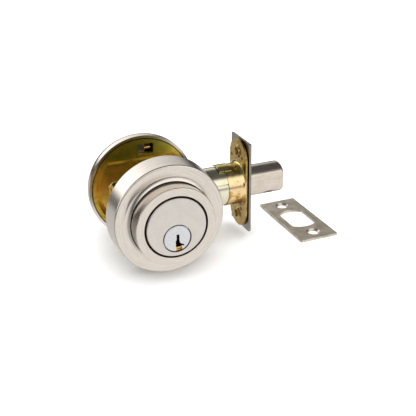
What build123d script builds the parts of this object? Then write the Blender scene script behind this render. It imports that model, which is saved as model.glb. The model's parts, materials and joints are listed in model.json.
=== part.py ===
from build123d import *
import os
from math import asin, cos, radians, sin, sqrt

# Single-cylinder deadbolt door lock, millimetres.
# Origin: centre of the cross bore, where the latch axis meets the middle of the door.
# +X the way the bolt is thrown, -Y the exterior side of the door, +Y the interior side, +Z up.

# ---------------------------------------------------------------- door and latch layout
door_thickness = 36.0
backset = 58.8              # cross-bore centre to the outer face of the faceplate
bolt_throw = 25.4

# ---------------------------------------------------------------- exterior trim
trim_radius = 32.8          # collar and rose, where they sit on the door
collar_front_radius = 32.1
collar_depth = 13.9
cove_height = 1.0           # hollow curve that lifts the collar front to meet the guard ring
cove_width = 3.0
trim_wall = 1.6
collar_edge_round = 0.9
ring_radius = 23.2
ring_depth = 23.95          # door face to the front of the guard ring
ring_wall = 4.9
ring_edge_round = 0.45
ring_play = 0.25            # collar opening round the guard ring
face_gap = 1.05             # dark gap between the guard ring and the cylinder
face_step = 0.35            # cylinder face stands this far proud of the guard ring
face_edge_round = 0.6
base_thickness = 1.6
base_play = 0.3

# ---------------------------------------------------------------- key cylinder
plug_drop = 6.6             # plug axis below the cross-bore centre
plug_radius = 6.35
plug_play = 0.05
plug_face_radius = 7.7
plug_face_play = 0.6
plug_face_round = 0.4
plug_face_thickness = 0.9
key_guide_radius = 3.0      # shallow dish round the keyway
key_guide_depth = 0.25
plug_head_thickness = 1.6   # brass head behind the chrome face
pin_count = 5
pin_pitch = 3.8
pin_first = 4.6             # cylinder front to the first pin
pin_radius = 1.35
pin_play = 0.1
pin_shoulder = 0.12         # key pins end this far under the plug's surface
key_pin_length = 3.6
driver_pin_length = 4.6
spring_wire = 0.4
cover_thickness = 0.9
chamber_wall = 0.6          # slot for the chamber cover, past the pin chambers
cap_radius = 7.4
cap_wall = 1.2
cap_play = 0.5
head_radius = 4.6
head_thickness = 1.8
housing_screw_x = (-11.6, 11.6)
housing_screw_z = 8.0
housing_screw_radius = 1.5

# ---------------------------------------------------------------- tailpiece and thumbturn
blade_width = 6.0
blade_thickness = 1.8
blade_play = 0.1
rose_depth = 12.2
rose_round = 9.0
rose_boss_radius = 12.5
rose_boss_height = 1.2
spindle_radius = 5.2
spindle_play = 0.07
turn_base_radius = 10.4
turn_base_height = 3.4
turn_gap = 0.4
turn_length = 31.0
turn_width = 9.0
turn_height = 15.0

# ---------------------------------------------------------------- interior mounting plate
plate_radius = 30.6
plate_thickness = 1.4
plate_rim = 2.3             # width of the rim round the sunk middle
plate_draft = 40            # slope of the sunk middle's walls, degrees off square
plate_sink = 3.4            # how deep the middle is pressed in
plate_land = 19.0           # half height of the sunk middle
window_low = 21.2
window_high = 27.4
window_left = -1.7
window_right = 8.2
catch_stand_off = 1.0       # mounting plate to the catch behind its window
catch_pin_z = 24.0
catch_pin_radius = 0.95
screw_spacing = 34.0
screw_drop = 2.0            # through screws below the cross-bore centre
screw_radius = 2.4
screw_play = 0.35
screw_head_radius = 4.3
screw_head_height = 2.6
post_radius = 3.2
post_reach = 20.0           # exterior door face to the end of the threaded posts
thread_play = 0.05
thread_engagement = 14.0

# ---------------------------------------------------------------- latch
bolt_radius = 9.525
bolt_half_thickness = 7.7
bolt_tip = 83.8             # end of the thrown bolt
bolt_length = 32.2
bolt_tip_round = 1.8
bolt_play = 0.3
faceplate_length = 57.15
faceplate_width = 25.4
faceplate_thickness = 1.5
plate_corner = 0.7
plate_stand_off = 0.6
backing_thickness = 1.1
backing_half_width = 11.5
backing_half_length = 28.2
wood_screw_spacing = 41.3
wood_screw_radius = 2.35
countersink_radius = 4.1
dimple_height = 0.9
stake_marks = ((8.4, 16.1), (-6.0, 17.9), (-5.0, -15.6))
stake_radius = 1.05
stake_depth = 0.6
tube_radius = 12.0
tube_wall = 1.0
tube_rear = 25.9
sleeve_wall = 0.5           # gold drive-in sleeve round the front of the tube
sleeve_play = 0.1
sleeve_length = 10.9
flare_radius = 1.9
tongue_length = 3.7
tongue_lift = 0.55
tongue_half_angle = 27.0
guide_play = 0.1
case_half_width = 5.4
case_sheet = 1.0
case_half_height = 12.0
case_rear = -24.0
bulkhead_thickness = 1.6
hub_radius = 5.0
trunnion_radius = 4.0
trunnion_play = 0.06
side_play = 0.1
arm_sheet = 1.5
arm_width = 6.4
drive_pin_radius = 2.0
bar_half_thickness = 1.5
bar_height = 4.5
bar_cover = 0.525           # top of the drive bar below the top of the bolt
fork_play = 0.65            # lets the straight-line bolt follow the turning arm
fork_wall = 2.0
fork_low = 1.8
fork_top = 12.4
spacer_radius = 1.8
link_pin_radius = 1.5
saw_pin_radius = 2.5

# ---------------------------------------------------------------- strike plate
strike_length = 57.15
strike_width = 25.4
strike_thickness = 1.5
strike_x = 96.7
strike_y = -3.2
strike_hole_radius = 12.5
strike_hole_half_width = 8.4
strike_screw_radius = 3.2
strike_screw_land = 0.4     # straight part of a screw hole under its countersink

# ---------------------------------------------------------------- places worked out from the sizes
outside = -door_thickness / 2
inside = door_thickness / 2
collar_front = outside - collar_depth
ring_front = outside - ring_depth
ring_bore = ring_radius - ring_wall
cylinder_radius = ring_bore - face_gap
cylinder_front = ring_front - face_step
base_back = outside - base_thickness
plug_z = -plug_drop
plug_bore = plug_radius + plug_play
plug_front = cylinder_front + plug_face_thickness
pin_places = [cylinder_front + pin_first + number * pin_pitch for number in range(pin_count)]
chamber_radius = pin_radius + pin_play
chamber_half_width = chamber_radius + chamber_wall
chamber_start = pin_places[0] - chamber_half_width
chamber_end = pin_places[-1] + chamber_half_width
cover_top = sqrt(cylinder_radius**2 - chamber_radius**2) - 0.6
cover_low = cover_top - cover_thickness
driver_low = plug_z + plug_bore + 0.1
plug_head_back = plug_front + plug_head_thickness
plug_back = base_back + cap_play
cap_back = plug_back + cap_wall + head_thickness + 0.3 + cap_wall
head_front = plug_back + cap_wall + 0.15
rose_front = inside + rose_depth
rose_inner = rose_front - trim_wall
turn_start = rose_front + rose_boss_height + turn_gap
plate_back = inside + plate_sink + plate_thickness
catch_y = inside + plate_thickness + catch_stand_off
screw_x = screw_spacing / 2
screw_z = -screw_drop
faceplate_back = backset - faceplate_thickness
backing_front = faceplate_back - plate_stand_off
backing_back = backing_front - backing_thickness
sleeve_bore = tube_radius + sleeve_play
sleeve_radius = sleeve_bore + sleeve_wall
sleeve_rear = backing_back - sleeve_length
tube_bore = tube_radius - tube_wall
bolt_rear = bolt_tip - bolt_length
bar_high = bolt_radius - bar_cover
bar_low = bar_high - bar_height
link_pin_z = (bar_low + bar_high) / 2
arm_length = bolt_throw / sqrt(2)
pin_x = bolt_throw / 2
pin_z = plug_z + bolt_throw / 2
bulkhead_rear = tube_rear - bulkhead_thickness
case_inner = case_half_width - case_sheet
floor_z = -trim_radius
strike_top = floor_z + strike_thickness
wood_screw_z = wood_screw_spacing / 2


# ---------------------------------------------------------------- shape helpers
def block(x_low, x_high, y_low, y_high, z_low, z_high):
    size = (x_high - x_low, y_high - y_low, z_high - z_low)
    middle = ((x_low + x_high) / 2, (y_low + y_high) / 2, (z_low + z_high) / 2)
    return Pos(*middle) * Box(*size)


def rod_x(radius, start, end, y=0.0, z=0.0):
    return Pos((start + end) / 2, y, z) * Rot(0, 90, 0) * Cylinder(radius, end - start)


def rod_y(radius, start, end, x=0.0, z=0.0):
    return Pos(x, (start + end) / 2, z) * Rot(90, 0, 0) * Cylinder(radius, end - start)


def rod_z(radius, start, end, x=0.0, y=0.0):
    return Pos(x, y, (start + end) / 2) * Cylinder(radius, end - start)


def turned(points, axis=Axis.Y, rounds=()):
    """Solid of revolution; each round is a corner of the section and its radius."""
    section = make_face(Polyline(*points, close=True))
    for corner, radius in rounds:
        nearest = section.vertices().sort_by_distance((*corner, 0))[0]
        section = fillet(nearest, radius)
    return revolve(section, axis)


def prism_y(outline, start, end):
    """Outline given as (x, z) points, drawn out from start to end along Y."""
    plane = Plane(origin=(0, end, 0), x_dir=(1, 0, 0), z_dir=(0, -1, 0))
    face = plane * make_face(Polyline(*outline, close=True))
    return extrude(face, end - start, dir=(0, -1, 0))


def flatted_rod(radius, half_thickness, start, end):
    """Round bar along X with two flats facing the door faces."""
    flats = block(start, end, -half_thickness, half_thickness, -radius, radius)
    return rod_x(radius, start, end) & flats


def countersunk_hole(x_face, z, depth):
    """Screw hole through a plate on the door edge, countersunk from the outside."""
    cone_depth = countersink_radius - wood_screw_radius
    hole = rod_x(wood_screw_radius, x_face - depth - 1, x_face + 1, z=z)
    cone_place = Pos(x_face - cone_depth / 2, 0, z) * Rot(0, 90, 0)
    return hole + cone_place * Cone(wood_screw_radius, countersink_radius, cone_depth)


def drilled(body, holes):
    for hole in holes:
        body = body - hole
    return body


# ---------------------------------------------------------------- exterior side
def exterior_collar():
    """Turned collar whose front ends in a hollow cove round the guard ring."""
    slope = (trim_radius - collar_front_radius) / collar_depth
    opening = ring_radius + ring_play
    lip = collar_front - cove_height
    back = collar_front + trim_wall
    cove_radius = (cove_width**2 + cove_height**2) / (2 * cove_height)
    sweep = asin(cove_width / cove_radius)
    cove_start = (opening + cove_width, collar_front)
    cove_middle = (
        cove_start[0] - cove_radius * sin(sweep / 2),
        collar_front - cove_radius * (1 - cos(sweep / 2)),
    )
    outline = Curve() + [
        Line((trim_radius, outside), (collar_front_radius, collar_front)),
        Line((collar_front_radius, collar_front), cove_start),
        ThreePointArc(cove_start, cove_middle, (opening, lip)),
        Polyline(
            (opening, lip),
            (opening, back),
            (collar_front_radius - trim_wall, back),
            (trim_radius - trim_wall - slope, outside),
            (trim_radius, outside),
        ),
    ]
    section = make_face(outline.edges())
    front_corner = section.vertices().sort_by_distance((collar_front_radius, collar_front, 0))[0]
    section = fillet(front_corner, collar_edge_round)
    return revolve(section, Axis.Y)


def guard_ring():
    points = [
        (ring_bore, ring_front),
        (ring_radius - 0.2, ring_front),
        (ring_radius, base_back),
        (ring_bore, base_back),
    ]
    rounds = [(points[0], ring_edge_round / 2), (points[1], ring_edge_round)]
    return turned(points, rounds=rounds)


def cover_slot(half_width, start, end, top):
    return block(-half_width, half_width, start, end, cover_low, top)


def cylinder_housing():
    body = turned(
        [
            (0, cylinder_front),
            (cylinder_radius, cylinder_front),
            (cylinder_radius, base_back),
            (0, base_back),
        ],
        rounds=[((cylinder_radius, cylinder_front), face_edge_round)],
    )
    face_bore = plug_face_radius + plug_face_play
    face_depth = plug_head_back + plug_face_play
    cuts = [
        rod_y(plug_bore, cylinder_front - 1, base_back + 1, z=plug_z),
        rod_y(face_bore, cylinder_front - 1, face_depth, z=plug_z),
        cover_slot(chamber_half_width, chamber_start, chamber_end, cylinder_radius),
    ]
    cuts += [rod_z(chamber_radius, plug_z, cover_low + 0.01, y=place) for place in pin_places]
    radius = housing_screw_radius + 0.1
    cuts += [rod_y(radius, base_back - 9, base_back + 1, x=x, z=housing_screw_z) for x in housing_screw_x]
    return drilled(body, cuts)


def keyway(bottom):
    """Warded key slot: narrow at the top, a side ward to the right, open below."""
    return [
        (-0.45, 2.4),
        (1.2, 2.4),
        (1.2, -1.2),
        (1.5, -2.7),
        (2.3, -3.5),
        (3.7, -4.0),
        (3.9, -5.1),
        (2.3, -4.6),
        (2.5, -5.4),
        (2.6, bottom),
        (-0.95, bottom),
        (-1.0, -1.6),
        (-0.45, -0.8),
    ]


def at_plug(points):
    return [(x, z + plug_z) for x, z in points]


def cylinder_plug():
    body = rod_y(plug_radius, plug_front, plug_back, z=plug_z)
    body += rod_y(plug_face_radius - 0.1, plug_front, plug_head_back, z=plug_z)
    slot = prism_y(at_plug(keyway(-5.6)), plug_front - 1, pin_places[-1] + 2 * pin_radius)
    step = [(-0.7, -6.75), (3.0, -6.2), (3.0, -7.1), (-0.7, -6.9)]
    groove = prism_y(at_plug(step), plug_front - 1, plug_head_back)
    holes = [
        rod_z(chamber_radius, plug_z - 1.0, plug_z + plug_radius + 1, x=0.0, y=place)
        for place in pin_places
    ]
    return drilled(body, [slot, groove] + holes)


def plug_face():
    front = cylinder_front
    disc = turned(
        [
            (0, front),
            (plug_face_radius, front),
            (plug_face_radius, plug_front),
            (0, plug_front),
        ],
        rounds=[((plug_face_radius, front), plug_face_round)],
    )
    guide = Rot(-90, 0, 0) * Cone(key_guide_radius, 0.1, key_guide_depth)
    disc = Pos(0, 0, plug_z) * disc
    disc -= Pos(0.5, front + key_guide_depth / 2, plug_z - 2.9) * guide
    return disc - prism_y(at_plug(keyway(-plug_face_radius - 1)), front - 1, plug_front + 1)


def key_pins():
    top = plug_z + plug_radius - pin_shoulder
    return [rod_z(pin_radius, top - key_pin_length, top, y=place) for place in pin_places]


def driver_pins():
    top = driver_low + driver_pin_length
    return [rod_z(pin_radius, driver_low, top, y=place) for place in pin_places]


def pin_springs():
    low = driver_low + driver_pin_length
    sleeves = []
    for place in pin_places:
        sleeves.append(
            rod_z(pin_radius, low, cover_low, y=place)
            - rod_z(pin_radius - spring_wire, low - 1, cover_low + 1, y=place)
        )
    return sleeves


def chamber_cover():
    return cover_slot(chamber_half_width - 0.1, chamber_start + 0.1, chamber_end - 0.1, cover_top)


def plug_cap():
    cup = rod_y(cap_radius, plug_back, cap_back, z=plug_z)
    pocket = rod_y(head_radius + 0.25, head_front - 0.15, cap_back - cap_wall, z=plug_z)
    mouth = rod_y(blade_width / 2 + 0.75, head_front, cap_back + 1, z=plug_z)
    return cup - pocket - mouth


def mounting_base():
    disc = rod_y(trim_radius - trim_wall - base_play, base_back, outside)
    cuts = [rod_y(cap_radius + cap_play, base_back - 1, outside + 1, z=plug_z)]
    cuts += [rod_y(post_radius, base_back - 1, outside + 1, x=x, z=screw_z) for x in (-screw_x, screw_x)]
    radius = housing_screw_radius + 0.2
    cuts += [rod_y(radius, base_back - 1, outside + 1, x=x, z=housing_screw_z) for x in housing_screw_x]
    return drilled(disc, cuts)


def threaded_posts():
    end = outside + post_reach
    posts = []
    for x in (-screw_x, screw_x):
        bore = rod_y(screw_radius + thread_play, end - thread_engagement, end + 1, x=x, z=screw_z)
        posts.append(rod_y(post_radius, base_back, end, x=x, z=screw_z) - bore)
    return posts


def cross_recess(x, z, y_top, size, depth):
    slots = block(x - size, x + size, y_top - depth, y_top + depth, z - size / 4, z + size / 4)
    return slots + block(x - size / 4, x + size / 4, y_top - depth, y_top + depth, z - size, z + size)


def housing_screws():
    screws = []
    for x in housing_screw_x:
        shank = rod_y(housing_screw_radius, base_back - 8, outside, x=x, z=housing_screw_z)
        head = rod_y(2 * housing_screw_radius, outside, outside + 1.8, x=x, z=housing_screw_z)
        screws.append(shank + head - cross_recess(x, housing_screw_z, outside + 1.8, 1.8, 1.0))
    return screws


# ---------------------------------------------------------------- tailpiece and thumbturn
def tailpiece():
    blade_end = rose_inner - 1.0
    half_w = blade_width / 2
    half_t = blade_thickness / 2
    head = rod_y(head_radius, head_front, head_front + head_thickness, z=plug_z)
    blade = block(-half_w, half_w, head_front, blade_end, plug_z - half_t, plug_z + half_t)
    return head + blade


def blade_slot(start, end):
    half_w = blade_width / 2 + blade_play
    half_t = blade_thickness / 2 + blade_play
    return block(-half_w, half_w, start, end, plug_z - half_t, plug_z + half_t)


def thumbturn_spindle():
    start = plate_back - 1.0
    return rod_y(spindle_radius, start, turn_start, z=plug_z) - blade_slot(start - 1, rose_inner)


def thumbturn():
    base_end = turn_start + turn_base_height
    shoulder = turn_base_radius - 1.2
    base = turned(
        [(0, turn_start), (turn_base_radius, turn_start), (shoulder, base_end), (0, base_end)],
        rounds=[((shoulder, base_end), 0.8)],
    )
    base = Pos(0, 0, plug_z) * base
    plane = Plane(origin=(0, base_end - 1, plug_z), x_dir=(1, 0, 0), z_dir=(0, 1, 0))
    paddle = extrude(plane * SlotOverall(turn_length, turn_width), turn_height + 1, taper=4)
    top = paddle.faces().sort_by(Axis.Y)[-1]
    paddle = fillet(top.edges(), 1.6)
    return base + paddle


def spindle_clip():
    thickness = 0.8
    end = rose_inner - 0.8
    ring = rod_y(spindle_radius + 2.4, end - thickness, end, z=plug_z)
    ring -= rod_y(spindle_radius, end - thickness - 1, end + 1, z=plug_z)
    return ring - block(-2.4, 2.4, end - 2, end + 2, plug_z - 20, plug_z)


def wave_washer():
    low = rose_inner - 0.7
    high = rose_inner - 0.15
    ring = rod_y(spindle_radius + 2.2, low, high, z=plug_z)
    return ring - rod_y(spindle_radius, low - 1, high + 1, z=plug_z)


def interior_rose():
    inner = trim_radius - trim_wall
    points = [
        (0, rose_front),
        (trim_radius, rose_front),
        (trim_radius, inside),
        (inner, inside),
        (inner, rose_inner),
        (0, rose_inner),
    ]
    rounds = [((trim_radius, rose_front), rose_round), ((inner, rose_inner), rose_round - trim_wall)]
    shell = turned(points, rounds=rounds)
    boss = Pos(0, 0, plug_z) * turned(
        [
            (0, rose_front - 0.5),
            (rose_boss_radius, rose_front - 0.5),
            (rose_boss_radius - 0.5, rose_front + rose_boss_height),
            (0, rose_front + rose_boss_height),
        ],
        rounds=[((rose_boss_radius - 0.5, rose_front + rose_boss_height), 0.5)],
    )
    hole = rod_y(spindle_radius + spindle_play, rose_inner - 1, turn_start, z=plug_z)
    return shell + boss - hole


def mounting_plate():
    face = inside
    sunk = face + plate_sink
    disc = rod_y(plate_radius, face, plate_back)
    outline = Circle(plate_radius - plate_rim) & Rectangle(2 * plate_radius, 2 * plate_land)
    plane = Plane(origin=(0, face, 0), x_dir=(-1, 0, 0), z_dir=(0, 1, 0))
    pocket = extrude(plane * outline, plate_sink, taper=plate_draft)
    far = plate_radius + 1
    ledge = plate_land + plate_thickness
    back_face = face + plate_thickness
    cuts = [pocket]
    for low, high in ((ledge, far), (-far, -ledge)):
        cuts.append(block(-far, far, back_face, plate_back + 1, low, high))
    window = block(window_left, window_right, face - 1, back_face + 1, window_low, window_high)
    cuts.append(fillet(window.edges().filter_by(Axis.Y), 0.8))
    radius = screw_radius + screw_play
    cuts += [rod_y(radius, sunk - 1, plate_back + 1, x=x, z=screw_z) for x in (-screw_x, screw_x)]
    cuts.append(rod_y(spindle_radius + 1.6, sunk - 1, plate_back + 1, z=plug_z))
    return drilled(disc, cuts)


def cover_catch():
    """Tab of the rose that hooks behind the mounting plate, seen through its window."""
    reach = sqrt((trim_radius - trim_wall) ** 2 - 3.6**2) - 0.15
    tab = block(-3.6, 3.0, catch_y, catch_y + 1.0, window_low - 0.5, reach)
    ear = block(2.4, 3.2, catch_y - 0.7, catch_y + 1.0, catch_pin_z - 1.8, catch_pin_z + 1.8)
    return tab + ear


def catch_pin():
    y = catch_y + 0.3
    pin = rod_x(catch_pin_radius, 3.2, 6.4, y=y, z=catch_pin_z)
    return pin + rod_x(0.75 * catch_pin_radius, 6.4, 7.0, y=y, z=catch_pin_z)


def through_screws():
    tip = outside + post_reach - thread_engagement + 1.0
    screws = []
    for x in (-screw_x, screw_x):
        shank = rod_y(screw_radius, tip, plate_back, x=x, z=screw_z)
        head = rod_y(screw_head_radius, plate_back, plate_back + screw_head_height, x=x, z=screw_z)
        edge = head.faces().sort_by(Axis.Y)[-1].edges()
        head = fillet(edge, 1.2)
        screws.append(shank + head - cross_recess(x, screw_z, plate_back + screw_head_height, 2.4, 1.4))
    return screws


# ---------------------------------------------------------------- latch
def faceplate():
    half_y = faceplate_width / 2
    half_z = faceplate_length / 2
    plate = block(faceplate_back, backset, -half_y, half_y, -half_z, half_z)
    plate = fillet(plate.edges().filter_by(Axis.X), plate_corner)
    plate = fillet(plate.faces().sort_by(Axis.X)[-1].edges(), 0.25)
    for z in (-wood_screw_z, wood_screw_z):
        place = Pos(backing_front + plate_stand_off / 2, 0, z) * Rot(0, 90, 0)
        plate += place * Cone(countersink_radius - 0.5, countersink_radius + 0.7, plate_stand_off)
    gap = bolt_play
    cuts = [flatted_rod(bolt_radius + gap, bolt_half_thickness + gap, faceplate_back - 1, backset + 1)]
    depth = faceplate_thickness + plate_stand_off
    cuts += [countersunk_hole(backset, z, depth) for z in (-wood_screw_z, wood_screw_z)]
    return drilled(plate, cuts)


def backing_plate():
    plane = Plane(origin=(backing_back, 0, 0), x_dir=(0, 0, 1), z_dir=(1, 0, 0))
    outline = plane * SlotOverall(2 * backing_half_length, 2 * backing_half_width)
    plate = extrude(outline, backing_thickness)
    for z in (-wood_screw_z, wood_screw_z):
        place = Pos(backing_back - dimple_height / 2, 0, z) * Rot(0, 90, 0)
        plate += place * Cone(wood_screw_radius + 0.7, countersink_radius, dimple_height)
    cuts = [rod_x(tube_bore, backing_back - 1, backing_front + 1)]
    for z in (-wood_screw_z, wood_screw_z):
        cuts.append(rod_x(wood_screw_radius, backing_back - 2, backing_front + 1, z=z))
        place = Pos(backing_front - dimple_height / 2, 0, z) * Rot(0, 90, 0)
        cuts.append(place * Cone(wood_screw_radius, countersink_radius - 0.6, dimple_height))
    stake_end = backing_back + stake_depth
    cuts += [rod_x(stake_radius, backing_back - 1, stake_end, y=y, z=z) for y, z in stake_marks]
    return drilled(plate, cuts)


def drive_sleeve():
    """Gold sleeve round the front of the tube, flared onto the backing plate, with a spring tongue."""
    flare_start = backing_back - flare_radius
    flare_edge = sleeve_radius + flare_radius
    middle_x = flare_start + flare_radius * sin(radians(45))
    middle_r = flare_edge - flare_radius * cos(radians(45))
    outline = Curve() + [
        Line((sleeve_rear, sleeve_bore), (sleeve_rear, sleeve_radius)),
        Line((sleeve_rear, sleeve_radius), (flare_start, sleeve_radius)),
        ThreePointArc((flare_start, sleeve_radius), (middle_x, middle_r), (backing_back, flare_edge)),
        Line((backing_back, flare_edge), (backing_back, sleeve_bore)),
        Line((backing_back, sleeve_bore), (sleeve_rear, sleeve_bore)),
    ]
    sleeve = revolve(make_face(outline.edges()), Axis.X)
    limit = faceplate_width / 2 - 0.1
    sleeve = sleeve & block(sleeve_rear, backing_back, -limit, limit, -flare_edge, flare_edge)
    low = tube_radius + tongue_lift
    high = low + sleeve_wall
    start = sleeve_rear - tongue_length
    end = sleeve_rear + 4.0
    arc = turned([(start, low), (start, high), (end, high), (end, low)], axis=Axis.X)
    reach = high * 1.2
    side = reach * sin(radians(tongue_half_angle))
    top = reach * cos(radians(tongue_half_angle))
    plane = Plane(origin=(start, 0, 0), x_dir=(0, 1, 0), z_dir=(1, 0, 0))
    wedge = plane * make_face(Polyline((0, 0), (side, top), (0, reach * 1.2), (-side, top), close=True))
    return sleeve + (arc & extrude(wedge, end - start))


def latch_tube():
    tube = rod_x(tube_radius, tube_rear, backing_back) - rod_x(tube_bore, tube_rear - 1, backing_back + 1)
    seam_angle = 156.0
    y = tube_radius * cos(radians(seam_angle))
    z = tube_radius * sin(radians(seam_angle))
    return tube - rod_x(0.35, tube_rear - 1, backing_back + 1, y=y, z=z)


def bolt_guide():
    start = backing_back - 6.0
    body = rod_x(tube_bore - guide_play, start, faceplate_back)
    gap = bolt_play
    return body - flatted_rod(bolt_radius + gap, bolt_half_thickness + gap, start - 1, faceplate_back + 1)


def case_bulkhead():
    disc = rod_x(tube_radius, bulkhead_rear, tube_rear)
    half = bar_half_thickness + 0.6
    return disc - block(bulkhead_rear - 1, tube_rear + 1, -half, half, bar_low - 0.8, tube_radius + 1)


def case_cheek(side):
    """Flat side of the latch case; side is -1 for the exterior cheek and +1 for the interior one."""
    low, high = sorted((side * case_inner, side * case_half_width))
    cheek = block(case_rear, bulkhead_rear, low, high, -case_half_height, case_half_height)
    rear_round = 0.4 if side < 0 else 2.6
    cheek = chamfer(cheek.edges().filter_by(Axis.Y).sort_by(Axis.X)[:2], rear_round)
    notch = post_radius + 0.7
    cuts = [
        rod_y(trunnion_radius + trunnion_play, low - 1, high + 1, z=plug_z),
        rod_y(notch, low - 1, high + 1, x=-screw_x, z=screw_z),
        rod_y(notch, low - 1, high + 1, x=screw_x, z=screw_z),
    ]
    return drilled(cheek, cuts)


def latch_case_outer():
    """Exterior cheek, whose ends fold across the back of the case; the upper one is trimmed and pierced."""
    case = case_cheek(-1)
    top = case_half_height
    low = screw_z + post_radius + 0.7
    web = [(-case_half_width, low), (-case_half_width, top), (0.9, top), (case_inner, top - 2.2)]
    web.append((case_inner, low))
    plane = Plane(origin=(case_rear, 0, 0), x_dir=(0, 1, 0), z_dir=(1, 0, 0))
    case += extrude(plane * make_face(Polyline(*web, close=True)), case_sheet)
    case += block(case_rear, case_rear + case_sheet, -case_half_width, case_inner, 1.0 - top, -low - 4)
    return case - rod_x(0.9, case_rear - 1, case_rear + case_sheet + 1, y=-0.5, z=top - 1.9)


def case_spacers():
    back_x = case_rear + case_sheet + spacer_radius + 0.1
    low_z = spacer_radius - case_half_height + 0.2
    front_x = bulkhead_rear - spacer_radius - 1.6
    places = [(back_x, low_z, spacer_radius), (front_x, low_z, spacer_radius)]
    places.append((front_x, case_half_height - 1.2, 1.0))
    return [rod_y(radius, -case_inner, case_inner, x=x, z=z) for x, z, radius in places]


def detent_spring():
    """Leaf on the interior cheek that holds the arm at either end of its swing."""
    strip = block(-16, 16, case_inner - 0.4, case_inner, 7.4, 9.6)
    for x in (-pin_x, pin_x):
        strip += rod_z(0.4, 7.4, 9.6, x=x, y=case_inner - 0.4)
    return strip


def drive_cam():
    """Hub turned by the tailpiece, with two arms that carry the drive pin."""
    hub = rod_y(hub_radius, side_play - case_inner, case_inner - side_play, z=plug_z)
    hub += rod_y(trunnion_radius, -case_half_width, case_half_width, z=plug_z)
    low = bar_half_thickness + 0.4
    for start, end in ((low, low + arm_sheet), (-low - arm_sheet, -low)):
        middle = Pos(pin_x / 2, (start + end) / 2, (plug_z + pin_z) / 2)
        hub += middle * Rot(0, -45, 0) * Box(arm_length, end - start, arm_width)
        hub += rod_y(arm_width / 2, start, end, x=pin_x, z=pin_z)
    hub -= rod_y(drive_pin_radius, -case_inner, case_inner, x=pin_x, z=pin_z)
    return hub - blade_slot(-case_half_width - 1, case_half_width + 1)


def cam_pin():
    reach = bar_half_thickness + 0.4 + arm_sheet
    return rod_y(drive_pin_radius, -reach, reach, x=pin_x, z=pin_z)


def bolt():
    body = flatted_rod(bolt_radius, bolt_half_thickness, bolt_rear, bolt_tip)
    body = fillet(body.faces().sort_by(Axis.X)[-1].edges(), bolt_tip_round)
    slot = block(bolt_rear - 1, bolt_rear + 6, -1.55, 1.55, bar_low - 0.05, bolt_radius + 1)
    cuts = [
        slot,
        rod_y(link_pin_radius + 0.02, -bolt_radius, bolt_radius, x=bolt_rear + 3, z=link_pin_z),
        rod_x(saw_pin_radius + 0.1, bolt_rear - 1, bolt_tip - 6, z=-1.5),
    ]
    return drilled(body, cuts)


def bolt_drive_bar():
    """Flat bar from the bolt back to a fork that straddles the cam's drive pin."""
    inner = drive_pin_radius + fork_play
    outer = inner + fork_wall
    half = bar_half_thickness
    bar = block(pin_x + inner, bolt_rear + 5.8, -half, half, bar_low, bar_high)
    fork = block(pin_x - outer, pin_x + outer, -half, half, fork_low, fork_top)
    gap = block(pin_x - inner, pin_x + inner, -half - 1, half + 1, fork_low + 1.7, fork_top + 1)
    return fork - gap + bar - rod_y(link_pin_radius, -half - 1, half + 1, x=bolt_rear + 3, z=link_pin_z)


def link_pin():
    corner = min(link_pin_z + link_pin_radius, 0.95 * bolt_radius)
    reach = min(sqrt(bolt_radius**2 - corner**2), bolt_half_thickness) - 0.2
    return rod_y(link_pin_radius, -reach, reach, x=bolt_rear + 3, z=link_pin_z)


def saw_pin():
    return rod_x(saw_pin_radius, bolt_rear + 0.5, bolt_tip - 6.2, z=-1.5)


# ---------------------------------------------------------------- strike plate
def strike_plate():
    half_x = strike_width / 2
    half_y = strike_length / 2
    plate = block(
        strike_x - half_x, strike_x + half_x, strike_y - half_y, strike_y + half_y, floor_z, strike_top
    )
    plate = fillet(plate.edges().filter_by(Axis.Z), plate_corner)
    plate = fillet(plate.faces().sort_by(Axis.Z)[-1].edges(), 0.25)
    hole = rod_z(strike_hole_radius, floor_z - 1, strike_top + 1, x=strike_x, y=strike_y)
    half = strike_hole_half_width
    far = strike_hole_radius + 1
    hole = hole & block(
        strike_x - half, strike_x + half, strike_y - far, strike_y + far, floor_z - 1, strike_top + 1
    )
    plate -= fillet(hole.edges().filter_by(Axis.Z), 1.0)
    cone_depth = strike_thickness - strike_screw_land
    for y in (strike_y - wood_screw_z, strike_y + wood_screw_z):
        plate -= rod_z(strike_screw_radius, floor_z - 1, strike_top + 1, x=strike_x, y=y)
        place = Pos(strike_x, y, strike_top - cone_depth / 2)
        plate -= place * Cone(strike_screw_radius, countersink_radius, cone_depth)
    return plate


# ---------------------------------------------------------------- the nodes
nodes = {
    "exterior_collar": exterior_collar(),
    "guard_ring": guard_ring(),
    "cylinder_housing": cylinder_housing(),
    "driver_pins": driver_pins(),
    "pin_springs": pin_springs(),
    "chamber_cover": chamber_cover(),
    "mounting_base": mounting_base(),
    "threaded_posts": threaded_posts(),
    "housing_screws": housing_screws(),
    "cylinder_plug": cylinder_plug(),
    "plug_face": plug_face(),
    "key_pins": key_pins(),
    "plug_cap": plug_cap(),
    "tailpiece": tailpiece(),
    "thumbturn": thumbturn(),
    "thumbturn_spindle": thumbturn_spindle(),
    "spindle_clip": spindle_clip(),
    "wave_washer": wave_washer(),
    "interior_rose": interior_rose(),
    "cover_catch": cover_catch(),
    "catch_pin": catch_pin(),
    "mounting_plate": mounting_plate(),
    "through_screws": through_screws(),
    "faceplate": faceplate(),
    "backing_plate": backing_plate(),
    "drive_sleeve": drive_sleeve(),
    "latch_tube": latch_tube(),
    "bolt_guide": bolt_guide(),
    "case_bulkhead": case_bulkhead(),
    "latch_case_outer": latch_case_outer(),
    "latch_case_inner": case_cheek(1),
    "case_spacers": case_spacers(),
    "detent_spring": detent_spring(),
    "drive_cam": drive_cam(),
    "cam_pin": cam_pin(),
    "bolt": bolt(),
    "bolt_drive_bar": bolt_drive_bar(),
    "link_pin": link_pin(),
    "saw_pin": saw_pin(),
    "strike_plate": strike_plate(),
}

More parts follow.
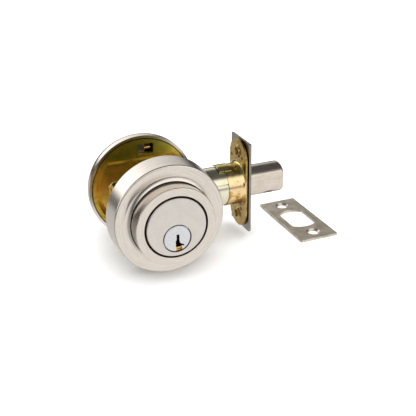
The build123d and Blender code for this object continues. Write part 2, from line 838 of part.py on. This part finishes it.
os.makedirs("parts", exist_ok=True)
for name, shape in nodes.items():
    if isinstance(shape, list):
        shape = Compound(children=shape)
    shape.label = name
    export_step(shape, f"parts/{name}.step")
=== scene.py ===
import json
from math import cos, pi, radians, sin

import bmesh
import bpy
from mathutils import Matrix, Vector


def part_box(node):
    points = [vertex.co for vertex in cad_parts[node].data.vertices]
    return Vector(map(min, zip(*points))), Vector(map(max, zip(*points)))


# Satin nickel deadbolt lock with its loose strike plate, on white studio paper.
# The frame's own meshes are the shapes, and this script gives each of them its finish.
# Lengths are metres, in the frame's axes, unless a name or comment says mm.

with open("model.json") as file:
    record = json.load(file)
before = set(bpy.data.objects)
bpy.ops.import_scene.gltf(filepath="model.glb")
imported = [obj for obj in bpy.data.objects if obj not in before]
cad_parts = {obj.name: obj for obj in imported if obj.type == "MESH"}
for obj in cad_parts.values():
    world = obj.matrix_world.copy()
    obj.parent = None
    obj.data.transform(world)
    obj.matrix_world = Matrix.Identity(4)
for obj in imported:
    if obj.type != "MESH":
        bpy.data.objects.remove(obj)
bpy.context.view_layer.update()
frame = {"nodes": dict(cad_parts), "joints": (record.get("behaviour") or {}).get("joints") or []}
nodes = frame["nodes"]

# ---------------------------------------------------------------- sizes of the finishes, mm
MM = 0.001
BRUSH_LINE = 0.3        # real brush lines are 0.05 mm apart, and are drawn this coarse so that they show
BRUSH_BAND = 1.0        # bands of slightly deeper lines
BRUSH_TURN = 0.003      # sideways step per radian: a line runs about a sixtieth of the way round
SMUDGE = 6.0            # patches of handling wear
SPECKLE = 0.9           # crystals of the zinc under its film
NYLON_GRAIN = 0.4       # spark-eroded grain of the mould

# ---------------------------------------------------------------- sizes of the studio
FLOOR_HALF_SIZE = 3.0
DOME_RADIUS = 3.0
CARD_RADIUS = 0.32
CARD_TOP = 0.032
CARD_STEPS = 60
CARD_GAP = range(20, 28)  # steps left open, counted from straight behind round by the right
LAMP_PLACE = (0.15, 0.10, 1.3)
LAMP_TARGET = (0.035, 0.0, 0.0)
LAMP_SIZE = 3.0
LAMP_POWER = 60.0
floor_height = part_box("interior_rose")[0].z


def joint_axis(name):
    """A point on a joint's axis."""
    for joint in frame["joints"]:
        if joint["name"] == name:
            return Vector(joint["pos_m"])


lock_axis = Vector((0, 0, 0))
plug_axis = joint_axis("plug_turn")


# ---------------------------------------------------------------- colours and shader nodes
def linear(colour):
    """sRGB hex to the linear colour that a shader wants."""
    channels = [int(colour[i:i + 2], 16) / 255 for i in (1, 3, 5)]
    return [c / 12.92 if c <= 0.04045 else ((c + 0.055) / 1.055) ** 2.4 for c in channels] + [1.0]


def put(tree, kind, inputs=None, stops=(), **settings):
    """Adds a node: inputs are values, nodes or sockets, and stops are a ramp's places and colours."""
    node = tree.nodes.new(kind)
    for key, value in settings.items():
        setattr(node, key, value)
    for key, value in (inputs or {}).items():
        socket = node.inputs[key]
        if isinstance(value, bpy.types.Node):
            value = value.outputs[0]
        if isinstance(value, bpy.types.NodeSocket):
            tree.links.new(value, socket)
        else:
            socket.default_value = value
    if stops:
        elements = node.color_ramp.elements
        while len(elements) < len(stops):
            elements.new(0.5)
        for element, (place, colour) in zip(elements, stops):
            element.position = place
            element.color = linear(colour)
    return node


def new_material(name):
    material = bpy.data.materials.new(name)
    material.use_nodes = True
    tree = material.node_tree
    tree.nodes.clear()
    shader = put(tree, "ShaderNodeBsdfPrincipled")
    put(tree, "ShaderNodeOutputMaterial", {0: shader})
    return material, tree, shader


def place_on(tree, centre=(0.0, 0.0, 0.0), scale=(1.0, 1.0, 1.0)):
    """Object coordinates, moved so that centre is at zero, then scaled."""
    where = put(tree, "ShaderNodeTexCoord").outputs["Object"]
    moved = put(tree, "ShaderNodeVectorMath", {0: where, 1: tuple(centre)}, operation="SUBTRACT")
    return put(tree, "ShaderNodeVectorMath", {0: moved, 1: tuple(scale)}, operation="MULTIPLY")


def turned_coordinates(tree, centre):
    """Place, distance from the axis, distance along it and angle round it, on a piece turned about Y."""
    moved = place_on(tree, centre)
    x, along, z = put(tree, "ShaderNodeSeparateXYZ", {0: moved}).outputs
    flat = put(tree, "ShaderNodeCombineXYZ", {0: x, 1: z})
    radius = put(tree, "ShaderNodeVectorMath", {0: flat}, operation="LENGTH").outputs["Value"]
    angle = put(tree, "ShaderNodeMath", {0: z, 1: x}, operation="ARCTAN2")
    return moved, radius, along, angle


# ---------------------------------------------------------------- ways to finish a metal
def metal_surface(tree, shader, colour, roughness, height, bump_depth):
    """Joins the colour, roughness and bump patterns of a metal; bump_depth is in mm."""
    shader.inputs["Metallic"].default_value = 1.0
    tree.links.new(colour.outputs[0], shader.inputs["Base Color"])
    tree.links.new(roughness.outputs[0], shader.inputs["Roughness"])
    bump = put(tree, "ShaderNodeBump", {"Strength": 0.3, "Distance": bump_depth * MM, "Height": height})
    tree.links.new(bump.outputs[0], shader.inputs["Normal"])


def brushed_round(name, centre, tint, shade, roughness, anisotropy):
    """Satin nickel plate, brushed on a lathe: fine rings, and highlights that fan out from the axis."""
    material, tree, shader = new_material(name)
    moved, radius, along, angle = turned_coordinates(tree, centre)
    outward = put(tree, "ShaderNodeMath", {0: radius, 1: along}, operation="ADD")
    inward = put(tree, "ShaderNodeMath", {0: radius, 1: along}, operation="SUBTRACT")
    around = put(tree, "ShaderNodeMath", {0: angle, 1: BRUSH_TURN}, operation="MULTIPLY")
    lines = put(tree, "ShaderNodeCombineXYZ", {0: outward, 1: inward, 2: around})
    line_noise = {"Vector": lines, "Scale": 1 / (BRUSH_LINE * MM), "Detail": 3.0}
    band_noise = {"Vector": lines, "Scale": 1 / (BRUSH_BAND * MM), "Detail": 2.0}
    fine = put(tree, "ShaderNodeTexNoise", line_noise)
    coarse = put(tree, "ShaderNodeTexNoise", band_noise)
    both = put(tree, "ShaderNodeMath", {0: fine, 1: coarse}, operation="ADD")
    wear = put(tree, "ShaderNodeMath", {0: both, 1: 0.5}, operation="MULTIPLY")
    colour = put(tree, "ShaderNodeValToRGB", {0: wear}, stops=[(0.38, shade), (0.60, tint)])
    limits = {"Value": wear, "To Min": roughness - 0.04, "To Max": roughness + 0.04}
    metal_surface(tree, shader, colour, put(tree, "ShaderNodeMapRange", limits), wear, 0.004)
    cross = put(tree, "ShaderNodeVectorMath", {0: (0.0, 1.0, 0.0), 1: moved}, operation="CROSS_PRODUCT")
    spaces = {"vector_type": "VECTOR", "convert_from": "OBJECT", "convert_to": "WORLD"}
    tangent = put(tree, "ShaderNodeVectorTransform", {0: cross}, **spaces)
    tree.links.new(tangent.outputs[0], shader.inputs["Tangent"])
    shader.inputs["Anisotropic"].default_value = anisotropy
    return material


def brushed_straight(name, grain_size, tint, shade, roughness):
    """Satin nickel plate, brushed one way: grain_size is in mm along X, Y and Z."""
    material, tree, shader = new_material(name)
    stretched = place_on(tree, scale=[1 / (size * MM) for size in grain_size])
    grain = put(tree, "ShaderNodeTexNoise", {"Vector": stretched, "Scale": 1.0, "Detail": 3.0})
    smudge_noise = {"Vector": place_on(tree), "Scale": 1 / (SMUDGE * MM), "Detail": 3.0}
    smudge = put(tree, "ShaderNodeTexNoise", smudge_noise)
    both = put(tree, "ShaderNodeMath", {0: grain, 1: smudge}, operation="ADD")
    wear = put(tree, "ShaderNodeMath", {0: both, 1: 0.5}, operation="MULTIPLY")
    colour = put(tree, "ShaderNodeValToRGB", {0: wear}, stops=[(0.38, shade), (0.60, tint)])
    limits = {"Value": wear, "To Min": roughness - 0.08, "To Max": roughness + 0.08}
    metal_surface(tree, shader, colour, put(tree, "ShaderNodeMapRange", limits), grain, 0.008)
    return material


def chromate_zinc(name, patch, stops, roughness, film_and_shade_drift=0.0):
    """Zinc plate under a chromate film, whose hue follows how thick it is.

    Patches are about patch mm across, and the colour ramp moves by the drift per mm upwards: painted shade
    where it darkens low down, along with a shift of the film's hue.
    """
    material, tree, shader = new_material(name)
    where = place_on(tree)
    cloud_noise = {"Vector": where, "Scale": 1 / (patch * MM), "Detail": 4.0, "Distortion": 0.7}
    cloud = put(tree, "ShaderNodeTexNoise", cloud_noise)
    speckle = put(tree, "ShaderNodeTexNoise", {"Vector": where, "Scale": 1 / (SPECKLE * MM), "Detail": 2.0})
    weighted = put(tree, "ShaderNodeMath", {0: speckle, 1: 0.3}, operation="MULTIPLY")
    film = put(tree, "ShaderNodeMath", {0: cloud, 1: 0.7, 2: weighted}, operation="MULTIPLY_ADD")
    height = put(tree, "ShaderNodeSeparateXYZ", {0: where}).outputs["Z"]
    # the film plus height times the drift: where the drift is set, the ramp darkens low down as painted
    # shade and shifts the film's hue
    film_and_shade = put(tree, "ShaderNodeMath", {0: height, 1: film_and_shade_drift / MM, 2: film}, operation="MULTIPLY_ADD")
    colour = put(tree, "ShaderNodeValToRGB", {0: film_and_shade}, stops=stops)
    limits = {"Value": speckle, "To Min": roughness - 0.08, "To Max": roughness + 0.08}
    metal_surface(tree, shader, colour, put(tree, "ShaderNodeMapRange", limits), film, 0.02)
    return material


def plain_metal(name, tint, shade, roughness, grain, bump_depth):
    """Machined, cast or polished metal with even tool marks; grain is their size in mm."""
    material, tree, shader = new_material(name)
    marks_noise = {"Vector": place_on(tree), "Scale": 1 / (grain * MM), "Detail": 4.0}
    marks = put(tree, "ShaderNodeTexNoise", marks_noise)
    colour = put(tree, "ShaderNodeValToRGB", {0: marks}, stops=[(0.35, shade), (0.60, tint)])
    limits = {"Value": marks, "To Min": roughness * 0.8, "To Max": roughness * 1.2}
    metal_surface(tree, shader, colour, put(tree, "ShaderNodeMapRange", limits), marks, bump_depth)
    return material


def moulded_nylon(name):
    """Black moulded nylon: matt, with a fine spark-eroded grain."""
    material, tree, shader = new_material(name)
    grain_noise = {"Vector": place_on(tree), "Scale": 1 / (NYLON_GRAIN * MM), "Detail": 2.0}
    grain = put(tree, "ShaderNodeTexNoise", grain_noise)
    colour = put(tree, "ShaderNodeValToRGB", {0: grain}, stops=[(0.3, "#121212"), (0.7, "#1e1e1d")])
    roughness = put(tree, "ShaderNodeMapRange", {"Value": grain, "To Min": 0.5, "To Max": 0.65})
    bump = put(tree, "ShaderNodeBump", {"Strength": 0.3, "Distance": 0.02 * MM, "Height": grain})
    tree.links.new(colour.outputs[0], shader.inputs["Base Color"])
    tree.links.new(roughness.outputs[0], shader.inputs["Roughness"])
    tree.links.new(bump.outputs[0], shader.inputs["Normal"])
    return material


# ---------------------------------------------------------------- materials
# nickel plate over turned brass: warm light grey, with fine rings and a highlight that fans out
collar_nickel = brushed_round("satin_nickel_turned_collar", lock_axis, "#d9d2ca", "#cec7be", 0.22, 0.8)

# nickel plate over a brushed casting: the same grey, with a wider and softer highlight
turn_nickel = brushed_round("satin_nickel_turned_thumbturn", plug_axis, "#d9d1c8", "#c9c0b6", 0.30, 0.5)

# nickel plate, lapped flat: an even grey face, a little cloudy, with no direction to it
face_nickel = brushed_straight("satin_nickel_lapped_cylinder", (0.5, 0.5, 0.5), "#d6d1cc", "#cdc8c2", 0.34)

# nickel plate brushed lengthwise on steel strip: long upright streaks, and a mid grey darker than the other
# nickel that is painted shade for the faceplate's rear
shaded_edge_nickel = brushed_straight("satin_nickel_brushed_faceplate_shaded", (0.3, 0.3, 9.0), "#96918b", "#837d76", 0.30)

# nickel plate brushed along drawn brass: taupe grey, with streaks that follow the bolt
bolt_nickel = brushed_straight("satin_nickel_brushed_bolt", (12.0, 0.3, 0.3), "#d8cec4", "#c6bcb1", 0.24)

# nickel plate brushed across punched strip: pale and slightly yellow, with cloudy smudges
strike_nickel = brushed_straight("satin_nickel_brushed_strike", (0.3, 9.0, 0.3), "#d9d1c2", "#ab9f8c", 0.32)

# yellow chromate on a pressed plate: gold in the middle and olive at the top from the film's hue; the dark
# brown low down is painted shade
plate_zinc = chromate_zinc(
    "yellow_chromate_zinc_pressed_plate",
    9.0,
    [
        (0.20, "#5d521c"),
        (0.40, "#d4b048"),
        (0.52, "#f6c85e"),
        (0.64, "#e4c052"),
        (0.76, "#bcb448"),
        (0.90, "#a4a444"),
    ],
    0.32,
    film_and_shade_drift=0.012,
)

# thinner yellow chromate on a pressed plate: olive, blotched with brown and copper
backing_zinc = chromate_zinc(
    "yellow_chromate_zinc_pressed_backing",
    4.0,
    [(0.34, "#6a4628"), (0.43, "#a88646"), (0.52, "#bca85e"), (0.60, "#a8724a"), (0.70, "#cab26c")],
    0.30,
)

# gold chromate on a rolled sleeve: bright gold with pink and green-gold bands; the darker brown below is
# painted shade
sleeve_zinc = chromate_zinc(
    "gold_chromate_zinc_rolled_sleeve",
    5.0,
    [
        (0.20, "#6b4a1e"),
        (0.38, "#b58e48"),
        (0.50, "#e8ca94"),
        (0.60, "#f0d0aa"),
        (0.70, "#d6cc8c"),
        (0.85, "#b79c58"),
    ],
    0.22,
    film_and_shade_drift=0.020,
)

# clear chromate on a drawn tube: bright silver with a pale yellow-green cast
tube_zinc = chromate_zinc(
    "clear_zinc_drawn_tube",
    8.0,
    [(0.30, "#cfc9a4"), (0.45, "#ddd8bc"), (0.60, "#e3e0cd"), (0.75, "#d6ccab")],
    0.22,
)

# machined brass: warm yellow, with fine tool marks
core_brass = plain_metal("brass_machined", "#e3b76a", "#c08f45", 0.24, 0.8, 0.01)

# polished chrome: cold and bright, with sharp reflections
plug_chrome = plain_metal("chrome_polished_plug", "#d2d4d8", "#c6c8cd", 0.14, 0.6, 0.003)

# die-cast zinc: dull grey and slightly pebbled
cast_zinc = plain_metal("zinc_die_cast", "#b3b2b0", "#989795", 0.42, 1.2, 0.03)

# ground steel: neutral grey, brighter than the casting
ground_steel = plain_metal("steel_ground", "#b4b4b8", "#98989c", 0.26, 0.5, 0.01)

# moulded nylon: near black, with a soft sheen
nylon = moulded_nylon("black_nylon_moulded")

finishes = {
    "exterior_collar": collar_nickel,
    "guard_ring": collar_nickel,
    "cylinder_housing": face_nickel,
    "driver_pins": core_brass,
    "pin_springs": ground_steel,
    "chamber_cover": core_brass,
    "mounting_base": plate_zinc,
    "threaded_posts": ground_steel,
    "housing_screws": ground_steel,
    "cylinder_plug": core_brass,
    "plug_face": plug_chrome,
    "key_pins": core_brass,
    "plug_cap": core_brass,
    "tailpiece": tube_zinc,
    "thumbturn": turn_nickel,
    "thumbturn_spindle": cast_zinc,
    "spindle_clip": ground_steel,
    "wave_washer": ground_steel,
    "interior_rose": collar_nickel,
    "cover_catch": shaded_edge_nickel,
    "catch_pin": core_brass,
    "mounting_plate": plate_zinc,
    "through_screws": sleeve_zinc,
    "faceplate": shaded_edge_nickel,
    "backing_plate": backing_zinc,
    "drive_sleeve": sleeve_zinc,
    "latch_tube": tube_zinc,
    "bolt_guide": nylon,
    "case_bulkhead": tube_zinc,
    "latch_case_outer": tube_zinc,
    "latch_case_inner": tube_zinc,
    "case_spacers": ground_steel,
    "detent_spring": ground_steel,
    "drive_cam": cast_zinc,
    "cam_pin": ground_steel,
    "bolt": bolt_nickel,
    "bolt_drive_bar": tube_zinc,
    "link_pin": ground_steel,
    "saw_pin": ground_steel,
    "strike_plate": strike_nickel,
}
for node_name, material in finishes.items():
    mesh = nodes[node_name].data
    mesh.materials.clear()
    mesh.materials.append(material)


# ---------------------------------------------------------------- stage
def stage_material(name, colour, glow=0.0):
    """Matt paper, card or cloth with no gloss; glow is how strongly it shines by itself."""
    material, tree, shader = new_material(name)
    shader.inputs["Base Color"].default_value = linear(colour)
    shader.inputs["Roughness"].default_value = 1.0
    shader.inputs["Specular IOR Level"].default_value = 0.0
    shader.inputs["Emission Color"].default_value = linear("#ffffff")
    shader.inputs["Emission Strength"].default_value = glow
    return material


def add_to_stage(name, mesh, material, unseen_by):
    """Puts a mesh on the stage; unseen_by lists the kinds of ray that pass through it."""
    mesh.materials.append(material)
    item = bpy.data.objects.new(name, mesh)
    for rays in unseen_by:
        setattr(item, "visible_" + rays, False)
    bpy.context.scene.collection.objects.link(item)


def add_floor():
    """White paper; the metals mirror the studio's grey underside in its place."""
    mesh = bpy.data.meshes.new("floor")
    half = FLOOR_HALF_SIZE
    corners = [(-half, -half), (half, -half), (half, half), (-half, half)]
    mesh.from_pydata([(x, y, floor_height) for x, y in corners], [], [(0, 1, 2, 3)])
    add_to_stage("floor", mesh, stage_material("white_paper_matt", "#ececec"), ["glossy"])


def add_backdrop():
    """White dome behind everything, which lights nothing and isn't mirrored."""
    mesh = bpy.data.meshes.new("backdrop")
    dome = bmesh.new()
    bmesh.ops.create_icosphere(dome, subdivisions=4, radius=DOME_RADIUS)
    dome.to_mesh(mesh)
    dome.free()
    material = stage_material("white_backdrop_lit", "#000000", glow=1.0)
    add_to_stage("backdrop", mesh, material, ["diffuse", "glossy", "shadow"])


def add_black_card():
    """Low black card round the lock, open at the front right; only reflections show it."""
    points = []
    for step in range(CARD_STEPS):
        turn = 2 * pi * step / CARD_STEPS
        points += [(CARD_RADIUS * sin(turn), CARD_RADIUS * cos(turn), z) for z in (floor_height, CARD_TOP)]
    panels = []
    for step in range(CARD_STEPS):
        low, next_low = 2 * step, 2 * ((step + 1) % CARD_STEPS)
        if step not in CARD_GAP:
            panels.append((low, low + 1, next_low + 1, next_low))
    mesh = bpy.data.meshes.new("black_card")
    mesh.from_pydata(points, [], panels)
    material = stage_material("black_card_matt", "#050505")
    add_to_stage("black_card", mesh, material, ["camera", "diffuse", "shadow"])


# ---------------------------------------------------------------- light and camera
def add_overhead_light():
    """Wide soft light that whitens the floor and leaves only a close shadow; the metals don't mirror it."""
    light = bpy.data.lights.new("overhead_light", "AREA")
    light.shape = "RECTANGLE"
    light.size = LAMP_SIZE
    light.size_y = LAMP_SIZE
    light.energy = LAMP_POWER
    lamp = bpy.data.objects.new("overhead_light", light)
    lamp.location = LAMP_PLACE
    lamp.rotation_euler = (Vector(LAMP_TARGET) - Vector(LAMP_PLACE)).to_track_quat("-Z", "Y").to_euler()
    lamp.visible_glossy = False
    bpy.context.scene.collection.objects.link(lamp)


def set_world():
    """What the metals mirror: a soft box in front, a white wall behind and a grey underside."""
    world = bpy.data.worlds.new("studio")
    world.use_nodes = True
    tree = world.node_tree
    tree.nodes.clear()
    direction = put(tree, "ShaderNodeTexCoord").outputs["Generated"]
    x, y, z = put(tree, "ShaderNodeSeparateXYZ", {0: direction}).outputs

    # swing is 0 at the horizon in front, 0.5 straight up and 1 at the horizon behind
    forward = put(tree, "ShaderNodeMath", {0: y, 1: -1.0}, operation="MULTIPLY")
    lift = put(tree, "ShaderNodeMath", {0: z, 1: forward}, operation="ARCTAN2")
    swing = put(tree, "ShaderNodeMath", {0: lift, 1: pi}, operation="DIVIDE")

    # the front soft box comes down to the horizon on the right and stops higher on the left
    black, white = "#000000", "#ffffff"
    high_stops = [(0.0, black), (0.075, black), (0.115, white), (0.30, white), (0.36, black)]
    low_stops = [(0.0, black), (0.01, black), (0.035, white), (0.30, white), (0.36, black)]
    high_box = put(tree, "ShaderNodeValToRGB", {0: swing}, stops=high_stops)
    low_box = put(tree, "ShaderNodeValToRGB", {0: swing}, stops=low_stops)
    right = put(tree, "ShaderNodeMath", {0: x, 1: 4.0, 2: -0.4}, operation="MULTIPLY_ADD", use_clamp=True)
    left = put(tree, "ShaderNodeMath", {0: 1.0, 1: right}, operation="SUBTRACT")
    left_part = put(tree, "ShaderNodeMath", {0: high_box, 1: left}, operation="MULTIPLY")
    right_part = put(tree, "ShaderNodeMath", {0: low_box, 1: right}, operation="MULTIPLY")
    box = put(tree, "ShaderNodeMath", {0: left_part, 1: right_part}, operation="ADD")
    front_light = put(tree, "ShaderNodeMath", {0: box, 1: 1.32}, operation="MULTIPLY")

    # the back wall is brightest on the left
    wall_stops = [(0.76, black), (0.82, white), (0.94, white), (0.965, black)]
    wall = put(tree, "ShaderNodeValToRGB", {0: swing}, stops=wall_stops)
    leftwards = put(tree, "ShaderNodeMath", {0: x, 1: -1.5, 2: 1.3}, operation="MULTIPLY_ADD")
    wall_power = put(tree, "ShaderNodeMath", {0: leftwards, 1: 0.45}, operation="MAXIMUM")
    back_light = put(tree, "ShaderNodeMath", {0: wall, 1: wall_power}, operation="MULTIPLY")

    # the underside stands in for the floor: brighter in front, darker at the front left
    below = put(tree, "ShaderNodeMath", {0: z, 1: -6.0}, operation="MULTIPLY", use_clamp=True)
    to_left = put(tree, "ShaderNodeMath", {0: x, 1: -4.0, 2: -0.8}, operation="MULTIPLY_ADD", use_clamp=True)
    to_front = put(tree, "ShaderNodeMath", {0: y, 1: -3.0}, operation="MULTIPLY", use_clamp=True)
    front_left = put(tree, "ShaderNodeMath", {0: to_left, 1: to_front}, operation="MULTIPLY")
    uncovered = put(tree, "ShaderNodeMath", {0: front_left, 1: -0.6, 2: 1.0}, operation="MULTIPLY_ADD")
    underside = put(tree, "ShaderNodeMath", {0: below, 1: uncovered}, operation="MULTIPLY")
    under_power = put(tree, "ShaderNodeMath", {0: y, 1: -0.25, 2: 0.82}, operation="MULTIPLY_ADD")
    under_light = put(tree, "ShaderNodeMath", {0: underside, 1: under_power}, operation="MULTIPLY")

    walls = put(tree, "ShaderNodeMath", {0: front_light, 1: back_light}, operation="ADD")
    studio = put(tree, "ShaderNodeMath", {0: walls, 1: under_light}, operation="ADD")
    strength = put(tree, "ShaderNodeMath", {0: studio, 1: 0.10}, operation="ADD")
    light = put(tree, "ShaderNodeBackground", {0: linear("#fffdfa"), 1: strength})
    put(tree, "ShaderNodeOutputWorld", {0: light})
    bpy.context.scene.world = world


def add_camera(target, azimuth, elevation, roll, distance, lens):
    """Azimuth 0 looks along +Y; a negative one stands to the left of the lock."""
    turn, rise, lean = radians(azimuth), radians(elevation), radians(roll)
    back = Vector((sin(turn) * cos(rise), -cos(turn) * cos(rise), sin(rise)))
    side = (-back).cross(Vector((0, 0, 1))).normalized()
    up = side.cross(-back)
    right = cos(lean) * side + sin(lean) * up
    top = cos(lean) * up - sin(lean) * side
    data = bpy.data.cameras.new("camera")
    data.lens = lens
    data.sensor_width = 36.0
    data.clip_start = 0.01
    camera = bpy.data.objects.new("camera", data)
    facing = Matrix((right, top, back)).transposed().to_4x4()
    camera.matrix_world = Matrix.Translation(Vector(target) + distance * back) @ facing
    bpy.context.scene.collection.objects.link(camera)
    bpy.context.scene.camera = camera


add_floor()
add_backdrop()
add_black_card()
set_world()
add_overhead_light()
add_camera(
    target=(0.03504, -0.00155, -0.01273),
    azimuth=-22.38,
    elevation=25.46,
    roll=-0.91,
    distance=0.44541,
    lens=63.15,
)
bpy.context.scene.view_settings.view_transform = "Standard"
bpy.context.scene.view_settings.look = "None"
